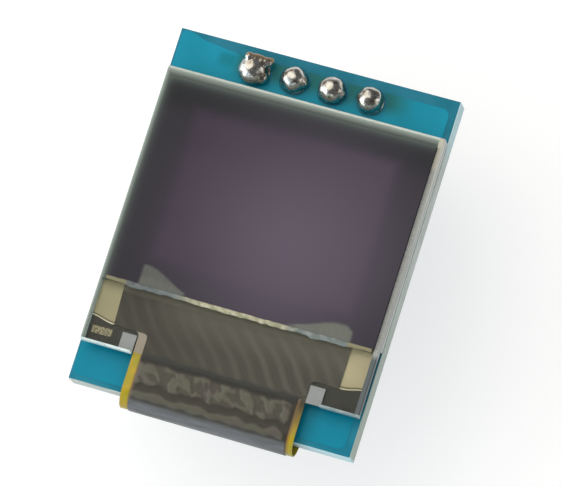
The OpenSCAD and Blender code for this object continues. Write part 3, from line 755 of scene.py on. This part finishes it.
cream = Finish("cream_glue", paint(196, 190, 162), 0.6, specular=0.3)
from_middle = cream.level(cream.off_middle(), 2.6, 4.4)
thick = cream.level(cream.grain(0.45), 0.35, 0.65)
thin_end = cream.blend(cream.fade("X", -6.6, -4.2), paint(92, 94, 94), paint(122, 130, 126))
thick_end = cream.blend(cream.fade("X", -6.6, 2.0), paint(118, 124, 122), paint(152, 160, 156))
middle_part = cream.blend(thick, paint(164, 160, 130), paint(210, 205, 176))
outer_part = cream.blend(thick, thin_end, thick_end)
tab_part = cream.blend(cream.fade("X", -7.0, 7.0), paint(140, 134, 104), paint(150, 142, 112))
over_tab = cream.level(cream.off_middle(), 7.2, 7.5)
outer_part = cream.blend(over_tab, outer_part, tab_part)
cream.colour(from_middle, middle_part, outer_part)
cream.relief(cream.grain(0.3), 0.012, 0.5)
dress(cream, "glue_bead")

STEPS, AROUND = 240, 8
LINE_X0, LINE_X1 = -8.7, 8.9
LINE_HIGH = 0.16
verts, faces = [], []
for i in range(STEPS + 1):
    x = LINE_X0 + (LINE_X1 - LINE_X0) * i / STEPS
    slow, quick = noise((x * 1.1, 0, 2.0)), noise((x * 1.9, 5.0, 0))
    off = abs(x)
    thinner = 0.04 * ramp(off, 3.0, 4.0) - 0.1 * ramp(off, 4.4, 5.4) + 0.12 * ramp(off, 6.8, 7.8)
    reach = (0.3 - thinner) * (1 + 0.25 * slow + 0.25 * quick)
    back = POLAR[1] + foot_wave(x) + 0.02
    for k in range(AROUND):
        a = math.pi / 2 * k / (AROUND - 1)
        verts.append((x, back - reach * math.cos(a), GLASS_Z1 + LINE_HIGH * math.sin(a)))
        if i and k:
            b = i * AROUND + k
            faces.append((b - AROUND - 1, b - AROUND, b, b - 1))
faces += [tuple(range(AROUND)), tuple(range(STEPS * AROUND, (STEPS + 1) * AROUND))[::-1]]
glue_line = solid_from("glue_line", verts, faces, cream)

# ----------------------------------------
# What lies behind the clear ledge: black tape under the bonded film, two
# sputtered metal squares for alignment, and a small etched tan patch.

tape = Finish("black_tape", paint(66, 62, 54), 0.55)
tape.colour(tape.grain(0.5, 4), paint(43, 39, 30), paint(58, 53, 41))
tape.relief(tape.grain(0.15), 0.01, 0.6)
(tape_x0, tape_y0, tape_z0), (tape_x1, tape_y1, tape_z1) = corners("bonding_tape")
tape_x0, tape_y0, tape_x1 = tape_x0 - 0.22, tape_y0 - 0.24, tape_x1 + 0.29
TAPE_STEPS = 60
tape_edge = [(tape_x0, tape_y1), (tape_x0, tape_y0)]
for i in range(1, TAPE_STEPS):
    x = tape_x0 + (tape_x1 - tape_x0) * i / TAPE_STEPS
    tape_edge.append((x, tape_y0 + 0.04 * noise((x * 1.3, 0, 6.0))))
tape_edge += [(tape_x1, tape_y0), (tape_x1, tape_y1)]
tape_sheet = cut_sheet("tape_sheet", [tape_edge], tape_z0, tape_z1, 0.01, tape)
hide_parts("bonding_tape")

MARK_Y0, MARK_Y1 = -19.66, -18.5
MARK_Z0, MARK_Z1 = [corner[2] for corner in corners("alignment_marks")]
square = Finish("mark_metal", paint(172, 174, 176), 0.5, 0.35)
square.colour(square.grain(0.4), paint(154, 157, 157), paint(174, 177, 177))
for side, x0, x1 in (("left", -6.72, -5.78), ("right", 5.76, 6.74)):
    outline = [(x0, MARK_Y0), (x1, MARK_Y0), (x1, MARK_Y1), (x0, MARK_Y1)]
    metal_square = cut_sheet(f"mark_{side}", [outline], MARK_Z0, MARK_Z1, 0.004, square)
    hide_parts("alignment_marks")

patch = Finish("tan_patch", paint(150, 140, 98), 0.6)
specks = patch.grain(0.11, 1)
patch.colour(patch.level(specks, 0.42, 0.58), paint(118, 106, 80), paint(172, 164, 126))
dress(patch, "code_patch")

# ----------------------------------------
# Flexible film: amber polyimide with copper lines under a dark resist. Bonded
# under the glass, necked, turned half a circle round the board's end, which has
# buckled the resist, and soldered on the back.

_, (_, START_Y, FILM_TOP) = corners("flex_circuit")
BASE_DEPTH, FILM_THICK = 0.05, 0.12
WIDE_L = 2.65
BEND_Y = -21.79
BEND_R = 1.235
FLAT_L = START_Y - BEND_Y
TURN_L = math.pi * BEND_R
BACK_L = 6.28
NECK_X = 5.75
CORNER_R = 0.3
LEDGE_END = 3.95
ROW_PITCH = 0.08


def film_place(s, depth):
    """Place (y, z) at a run s along the film, at a depth below its outer face."""
    if s <= FLAT_L:
        return START_Y - s, FILM_TOP - depth
    if s >= FLAT_L + TURN_L:
        return BEND_Y + s - FLAT_L - TURN_L, FILM_TOP - 2 * BEND_R + depth
    a = (s - FLAT_L) / BEND_R
    r = BEND_R - depth
    return BEND_Y - r * math.sin(a), FILM_TOP - BEND_R + r * math.cos(a)


def neck_half(s, neck):
    """Half the neck's width at a run s, with the rounded inner corners."""
    t = min(CORNER_R, s - WIDE_L)
    return neck + CORNER_R - math.sqrt(CORNER_R ** 2 - (CORNER_R - t) ** 2)


def film_wave(x):
    """How far along the film the creases across it wander."""
    return 0.09 * math.sin(x * 2.3 + 0.6) + 0.06 * math.sin(x * 4.9 + 2.0)


def film_height(x, s):
    """Relief of the resist's face, in millimetres, on the part beyond the glass."""
    free = ramp(s, LEDGE_END + 0.02, LEDGE_END + 0.2)
    if not free:
        return 0.0
    wave = film_wave(x)
    scallop = 0.06 * abs(math.sin(x * 2.1 + 0.4)) + 0.04 * math.sin(x * 5.3)
    band = ramp(s, 4.28 + wave * 0.6, 4.55 + wave * 0.6) * (1 - ramp(s, 5.6 + wave, 5.88 + wave))
    spot = Vector((x * 1.6 - s * 0.8, s * 1.3, 8.0))
    lump = ramp(noise(spot) + 0.5 * noise(spot * 2.2), -0.16, 0.26)
    ridge = ramp(s - wave - scallop, 6.08, 6.32) * (1 - ramp(s - scallop, 6.56, 6.76))
    crease = math.exp(-((s - 6.92 - scallop) / 0.1) ** 2)
    side = ramp(5.2 - abs(x), 0, 0.3)
    return free * side * (0.03 * band + 0.04 * lump * band + 0.05 * ridge - 0.012 * crease)


def run_rows(end, fine):
    """Runs along the film at which its mesh has a row, for the bonded part and for the neck."""
    bonded, neck = [0.0], [WIDE_L]
    while bonded[-1] < WIDE_L - 0.3 - fine:
        bonded.append(bonded[-1] + fine * 2)
    bonded += [WIDE_L - back for back in (0.24, 0.18, 0.13, 0.09, 0.05, 0)]
    while neck[-1] < FLAT_L + TURN_L:
        neck.append(neck[-1] + (0.03 if neck[-1] < WIDE_L + CORNER_R else fine))
    neck[-1] = FLAT_L + TURN_L
    while neck[-1] < end - fine * 4:
        neck.append(neck[-1] + fine * 4)
    return bonded, neck + [end]


def closed_sheet(rows, across, upper, lower):
    """Faces of a closed sheet between two grids of points, each of rows by across + 1."""
    row, faces = across + 1, []
    for j in range(1, rows):
        for i in range(1, row):
            b = j * row + i
            faces.append((upper + b - row - 1, upper + b - row, upper + b, upper + b - 1))
            faces.append((lower + b - row, lower + b - row - 1, lower + b - 1, lower + b))
        for i in (0, row - 1):
            b = j * row + i
            faces.append((upper + b - row, upper + b, lower + b, lower + b - row))
    for j in (0, rows - 1):
        for i in range(1, row):
            b = j * row + i
            faces.append((upper + b - 1, upper + b, lower + b, lower + b - 1))
    return faces


def film_layer(name, sides, depth0, depth1, end, across, finish, relief, trim, cut):
    """One layer of the film, bonded part and neck; gives the piece and its points' (x, s)."""
    bonded_rows, neck_rows = run_rows(end, ROW_PITCH)
    verts, faces, spots = [], [], []
    for rows in (bonded_rows, neck_rows):
        starts = []
        for depth in (depth0, depth1):
            starts.append(len(verts))
            for s in rows:
                left, right = sides(s, rows is neck_rows)
                for i in range(across + 1):
                    x = left + (right - left) * i / across
                    run = cut(x, s)
                    lift = relief(x, run) if depth == depth0 else 0.0
                    y, z = film_place(run, depth - lift - trim(x, run))
                    verts.append((x, y, z))
                    spots.append((x, run))
        faces += closed_sheet(len(rows), across, *starts)
    return solid_from(name, verts, faces, finish), spots


def tab_reach(x):
    """The bare tabs at both ends end a little short and aslant."""
    return 1 - 0.09 * ramp(abs(x), 7.7, 9.0) - 0.02 * ramp(-x, 7.3, 8.2)


def tab_cut(x, s):
    """Run at which a point of the polyimide lies, shortened on the tabs."""
    return s * tab_reach(x) if abs(x) > 7.3 else s


def tab_run(x, s):
    """Run along a tab, counted so that its cut end is at WIDE_L."""
    return s / tab_reach(x) if abs(x) > 7.44 else 0.0


def tab_droop(x, s):
    """The tabs' free ends hang away from the glass, which bares their cut edge."""
    return -0.05 * ramp(abs(x), 7.4, 8.2) * ramp(s, WIDE_L - 0.75, WIDE_L)


def base_sides(s, in_neck):
    """The polyimide's two sides at a run s; its bonded part widens a little upwards."""
    if in_neck:
        return -neck_half(s, NECK_X - 0.05), neck_half(s, NECK_X)
    return -9.0 - 0.08 * (1 - s / WIDE_L), 9.0 + 0.14 * (1 - s / WIDE_L)


amber = Finish("polyimide", paint(190, 165, 45), 0.32)
amber_drift = amber.grain(0.8)
free_amber = amber.mottle(amber_drift, 0.3, 0.7, paint(168, 157, 24), paint(198, 162, 28))
# Painted shade: the right-hand margin is painted darker near the glass, and darkest under its ledge,
# where the glass shades it.
free_amber = amber.blend(amber.mark("dim"), free_amber, paint(124, 104, 34))
free_amber = amber.blend(amber.mark("under_ledge"), free_amber, paint(58, 52, 30))
free_amber = amber.blend(amber.mark("inner_edge"), free_amber, paint(122, 92, 62))
left_tab = amber.blend(amber_drift, paint(158, 151, 112), paint(180, 170, 128))
right_tab = amber.blend(amber_drift, paint(184, 173, 134), paint(206, 193, 150))
bonded = amber.blend(amber.fade("X", -7.0, 7.0), left_tab, right_tab)
off_middle = amber.off_middle()
neck_margin = amber.blend(amber.fade("X", 0.0, 1.0), paint(166, 154, 136), paint(78, 68, 50))
bonded = amber.mottle(off_middle, 6.4, 6.8, neck_margin, bonded)
bonded = amber.blend(amber.mark("cut_shadow"), bonded, paint(78, 66, 48))
bonded = amber.blend(amber.mark("cut_edge"), bonded, paint(232, 224, 184))
amber.colour(amber.mark("bonded"), free_amber, bonded)
amber.relief(amber.grain(0.3), 0.006, 0.5)


def flat(x, s):
    """No relief or droop."""
    return 0.0


def inner_mark(x, s):
    """The resist's brown rim, which runs out over the bare margin, more on the right."""
    return 1 - (ramp(-x, 5.08, 5.26) if x < 0 else ramp(x, 5.25, 5.55))


FILM_END = FLAT_L + TURN_L + BACK_L
base, spots = film_layer("film_base", base_sides, BASE_DEPTH, FILM_THICK, FILM_END,
                         150, amber, flat, tab_droop, tab_cut)
carry(base, spots, (
    ("bonded", lambda x, s: 1 - ramp(s, LEDGE_END - 0.03, LEDGE_END + 0.02)),
    ("inner_edge", inner_mark),
    # Painted shade of the glass on the right-hand margin.
    ("dim", lambda x, s: ramp(x, 0, 1) * (1 - ramp(s, 5.0, 6.6))),
    ("under_ledge", lambda x, s: ramp(x, 0, 1) * (1 - ramp(s, 4.15, 5.2))),
    ("cut_edge", lambda x, s: ramp(tab_run(x, s), WIDE_L - 0.1, WIDE_L - 0.06)),
    ("cut_shadow", lambda x, s: ramp(tab_run(x, s), WIDE_L - 0.2, WIDE_L - 0.14))))
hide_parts("flex_film")

resist = Finish("dark_resist", paint(76, 72, 62), 0.4, specular=0.3)
fine = resist.grain(0.35)
ledge_dark = resist.blend(fine, paint(66, 61, 51), paint(74, 68, 57))
ledge_light = resist.blend(fine, paint(84, 80, 68), paint(94, 90, 78))
ledge_dark = resist.blend(resist.fade("X", -6.5, 0.5), paint(60, 54, 42), ledge_dark)
ledge = resist.blend(resist.mark("stripe"), ledge_dark, ledge_light)
# Painted light: the ledge is painted lighter towards the glue line, except towards its left end, and
# lighter still just below the line, against the shadow that the line casts.
upper = resist.both(resist.fade("Y", -18.4, -15.9), resist.fade("X", -6.5, -2.0, 0.0, 0.6))
ledge = resist.blend(upper, ledge, paint(106, 101, 88))
painted_light_below_glue = resist.fade("Y", -16.15, -15.75, 0.0, 0.6)
ledge = resist.blend(painted_light_below_glue, ledge, paint(128, 120, 100))
# Painted light and shade on the buckled resist: its crests are painted lighter and its hollows darker.
shaded_hollow = resist.blend(fine, paint(58, 55, 48), paint(68, 64, 56))
lit_crest = resist.blend(fine, paint(88, 88, 74), paint(104, 103, 88))
tint = resist.level(resist.grain(1.0, 2, 4.0), 0.4, 0.7)
lit_crest = resist.blend(tint, lit_crest, paint(98, 91, 83))
neck_face = resist.blend(resist.mark("lit_crest"), shaded_hollow, lit_crest)
neck_face = resist.blend(resist.mark("brown_rim"), neck_face, paint(116, 98, 72))
# Painted reflection: the resist on the turn round the board's end is painted paler and bluish grey.
turned = resist.blend(fine, paint(106, 110, 112), paint(124, 126, 131))
dull = resist.level(resist.grain(0.6, 3, 8.0, stretch=(4, 0.6, 0.6)), 0.4, 0.65)
turned = resist.blend(dull, turned, paint(98, 101, 100))
free_face = resist.blend(resist.mark("turned"), neck_face, turned)
free_face = resist.blend(resist.mark("lead_lines"), free_face, paint(112, 104, 78))
whole_face = resist.blend(resist.mark("beyond"), ledge, free_face)
resist.colour(resist.mark("glass_shade"), whole_face, paint(46, 45, 42))
resist.relief(resist.grain(0.12), 0.006, 0.5)


def cover_sides(s, in_neck):
    """The resist's two sides at a run s; under the glass it reaches the neck's right side."""
    if in_neck:
        half = neck_half(s, 5.25)
        return 0.13 - half, half + 0.45 * (1 - ramp(s, LEDGE_END - 0.25, LEDGE_END))
    return -7.42 - 0.14 * (1 - s / WIDE_L), 7.53


def whole_run(x, s):
    """The resist is cut straight across."""
    return s


def stripe_mark(x, s):
    """Slanting copper lines seen through the resist: soft, slightly bent bands."""
    along = x - 0.86 * s + 0.12 * math.sin(s * 1.7 + x * 0.4)
    paler = 0.3 + 0.7 * ramp(x - 0.5 * s, -5.5, 2.5)
    uneven = 0.8 + 0.5 * noise((along * 0.9, s * 0.3, 3.0))
    return ramp(math.sin(math.tau * along / 1.15), -0.3, 0.9) * paler * uneven


def shade_mark(x, s):
    """Painted shadow of the glass's edge, where the film comes out from under it; its borders waver."""
    wave = 0.6 * film_wave(x)
    into = ramp(s, LEDGE_END - 0.2 + wave, LEDGE_END - 0.02 + wave)
    return 0.8 * into * (1 - ramp(s, LEDGE_END + 0.26 + wave, LEDGE_END + 0.55 + wave))


def lead_mark(x, s):
    """Straight copper lines on the back, from the chip to the row of contacts."""
    line = ramp(math.cos(math.tau * (x - LEAD_X0) / LEAD_PITCH), 0.1, 0.8)
    return line * ramp(4.9 - abs(x), 0, 0.1) * ramp(s - FLAT_L - TURN_L, 2.78, 2.98)


cover, spots = film_layer("film_resist", cover_sides, 0.0, BASE_DEPTH, FILM_END - 0.5,
                          180, resist, film_height, flat, whole_run)
carry(cover, spots, (
    ("stripe", stripe_mark),
    ("lit_crest", lambda x, s: ramp(film_height(x, s), 0.008, 0.06)),
    ("turned", lambda x, s: ramp(s, 6.75, 7.08) * (1 - ramp(s, 9.3, 10.1))),
    ("lead_lines", lead_mark),
    ("brown_rim", lambda x, s: ramp(-x, 4.92, 5.12) * ramp(s, LEDGE_END, LEDGE_END + 0.3)),
    ("beyond", lambda x, s: ramp(s, LEDGE_END - 0.1, LEDGE_END)),
    ("glass_shade", shade_mark)))
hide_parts("flex_circuit")

copper = Finish("tinned_fingers", paint(208, 192, 146), 0.28, 1.0)
copper.gloss(copper.level(copper.grain(0.1), 0.3, 0.7, 0.2, 0.4))
dress(copper, "film_fingers")

# ----------------------------------------
# Driver chip on the film's inner run: bare silicon, flipped and soldered,
# with a dark resin fillet drawn round it.

silicon = Finish("silicon", paint(72, 76, 84), 0.16, 0.4)
silicon.colour(silicon.grain(1.5, stretch=(1, 3, 1)), paint(66, 70, 80), paint(80, 82, 90))
silicon.relief(silicon.grain(0.04, stretch=(8, 1, 1)), 0.002, 0.4)
rounded_blocks("chip", "driver_chip", 0.015, silicon)

underfill = Finish("underfill", paint(30, 28, 27), 0.3)
underfill.relief(underfill.grain(0.25), 0.03, 0.5)
dress(underfill, "chip_resin")

# ----------------------------------------
# Small parts on the back: tan capacitors and white resistors with tinned end
# caps, and a moulded regulator with three gull-wing leads. Fired and moulded
# bodies have rounded edges.

ceramic = Finish("capacitor_ceramic", paint(170, 140, 104), 0.5)
ceramic.colour(ceramic.grain(0.2), paint(160, 130, 94), paint(182, 152, 116))
ceramic.relief(ceramic.grain(0.06), 0.008, 0.6)
alumina = Finish("resistor_ceramic", paint(228, 226, 216), 0.55)
alumina.relief(alumina.grain(0.06), 0.006, 0.6)
cap_tin = Finish("end_caps", paint(200, 200, 194), 0.32, 1.0)
cap_tin.gloss(cap_tin.level(cap_tin.grain(0.09), 0.3, 0.7, 0.24, 0.45))
cap_tin.relief(cap_tin.grain(0.15), 0.012, 0.5)
black_coat = Finish("resistor_coat", paint(26, 26, 28), 0.35)
black_coat.relief(black_coat.grain(0.2), 0.01, 0.5)
moulding = Finish("moulded_epoxy", paint(32, 32, 34), 0.5)
moulding.colour(moulding.grain(0.1), paint(26, 26, 28), paint(42, 42, 44))
moulding.relief(moulding.grain(0.05), 0.01, 0.8)
lead_tin = Finish("lead_tin", paint(196, 196, 190), 0.3, 1.0)
lead_tin.gloss(lead_tin.level(lead_tin.grain(0.1), 0.3, 0.7, 0.2, 0.42))

for kind, count, radius, fired in (("capacitor", 5, 0.03, ceramic), ("resistor", 4, 0.02, alumina)):
    for number in range(1, count + 1):
        rounded_blocks(f"{kind}_body_{number}", f"{kind}_{number}", radius, fired)
        rounded_blocks(f"{kind}_caps_{number}", f"{kind}_ends_{number}", radius * 2, cap_tin)
rounded_blocks("regulator_moulding", "regulator_body", 0.05, moulding)
rounded_blocks("regulator_legs", "regulator_leads", 0.03, lead_tin)
dress(black_coat, "resistor_coats")

# ----------------------------------------
# Studio: a pale table, a large warm soft box at the upper left, a cool one
# low on the left, weak ones in front and on the right, and a dim room.

FLOOR_Z = -6.02


def soft_box(name, way, distance, size, radiance, tint):
    """A square lamp that looks at the module from a direction."""
    lamp = bpy.data.lights.new(name, "AREA")
    lamp.size = size
    lamp.energy = radiance * math.pi * size * size
    lamp.color = tint
    stand = set_out(name, lamp)
    direction = Vector(way).normalized()
    stand.location = Vector((0, -0.01, 0.004)) + direction * distance
    stand.rotation_mode = "QUATERNION"
    stand.rotation_quaternion = direction.to_track_quat("Z", "Y")


soft_box("warm_box", (-0.44, 0.41, 0.80), 0.30, 0.32, 1.45, (1.0, 0.94, 0.83))
soft_box("cool_box", (-0.88, -0.33, 0.34), 0.30, 0.28, 2.2, (0.88, 0.96, 1.0))
soft_box("right_box", (0.97, 0.1, 0.2), 0.40, 0.20, 1.5, (1.0, 1.0, 0.98))
soft_box("front_box", (0.15, -0.92, 0.26), 0.40, 0.20, 1.35, (0.86, 0.98, 1.0))

room = bpy.data.worlds.new("studio")
bpy.context.scene.world = room
air = Wiring(room)
ray = air.tree.new("ShaderNodeLightPath").outputs
where = air.tree.new("ShaderNodeTexCoord").outputs["Generated"]
axes = air.tree.new("ShaderNodeSeparateXYZ")
ceiling = air.tree.new("ShaderNodeMapRange")
ceiling.inputs["From Max"].default_value = 0.3
air.join(where, axes.inputs[0])
air.join(axes.outputs["Z"], ceiling.inputs["Value"])


def towards(way, low, high):
    """0 to 1 as a mirrored direction turns towards a way."""
    dot = air.tree.new("ShaderNodeVectorMath")
    dot.operation = "DOT_PRODUCT"
    air.join(where, dot.inputs[0])
    dot.inputs[1].default_value = Vector(way).normalized()
    return air.level(dot.outputs["Value"], low, high)


WHITE = (1, 1, 1, 1)
wall = air.blend(towards((-0.8, -0.6, 0.0), -0.6, 0.5), (0.1, 0.09, 0.08, 1), (0.75, 0.76, 0.78, 1))
mirrored = air.blend(ceiling.outputs["Result"], wall, (0.12, 0.12, 0.12, 1))
mirrored = air.blend(towards((-0.74, -0.60, 0.30), 0.78, 0.92), mirrored, (2.1, 2.35, 2.6, 1))
lit = air.blend(ray["Is Glossy Ray"], (0.46, 0.46, 0.47, 1), mirrored)
seen = air.blend(ray["Is Camera Ray"], lit, WHITE)
air.join(air.blend(ray["Is Transmission Ray"], seen, WHITE), air.tree["Background"].inputs["Color"])

REACH = 0.6
table_mesh = bpy.data.meshes.new("table")
table_mesh.from_pydata([(-REACH, -REACH, FLOOR_Z * MM), (REACH, -REACH, FLOOR_Z * MM),
                        (REACH, REACH, FLOOR_Z * MM), (-REACH, REACH, FLOOR_Z * MM)],
                       [], [(0, 1, 2, 3)])
table = set_out("table", table_mesh)

table_top = bpy.data.materials.new("table_top")
paper = Wiring(table_top)
paper.tree.clear()
matt = paper.tree.new("ShaderNodeBsdfDiffuse")
matt.inputs["Color"].default_value = (0.5, 0.5, 0.5, 1)
glow = paper.tree.new("ShaderNodeEmission")
glow.inputs["Color"].default_value = WHITE
path = paper.tree.new("ShaderNodeLightPath").outputs
paper.join(paper.both(paper.either(path["Is Camera Ray"], path["Is Glossy Ray"]), 0.6),
           glow.inputs["Strength"])
layers = paper.tree.new("ShaderNodeAddShader")
paper.join(matt.outputs[0], layers.inputs[0])
paper.join(glow.outputs[0], layers.inputs[1])
paper.join(layers.outputs[0], paper.tree.new("ShaderNodeOutputMaterial").inputs["Surface"])
table_mesh.materials.append(table_top)

# ----------------------------------------
# Camera: a long lens above the module, a little right of and below it, and
# turned, so that the module lies aslant.

LENS = 293.4
EYE = Vector((63.43, -59.12, 280.05)) * MM
RIGHT = Vector((0.94076, 0.29911, -0.15970))
UP = Vector((-0.26031, 0.93892, 0.22509))

lens = bpy.data.cameras.new("camera")
lens.sensor_width = 36
lens.lens = LENS
lens.clip_start = 0.02
lens.clip_end = 5
camera = set_out("camera", lens)
look = Matrix((RIGHT, UP, RIGHT.cross(UP))).transposed()
camera.matrix_world = Matrix.Translation(EYE) @ look.to_4x4()
bpy.context.scene.camera = camera
bpy.context.scene.view_settings.view_transform = "Standard"
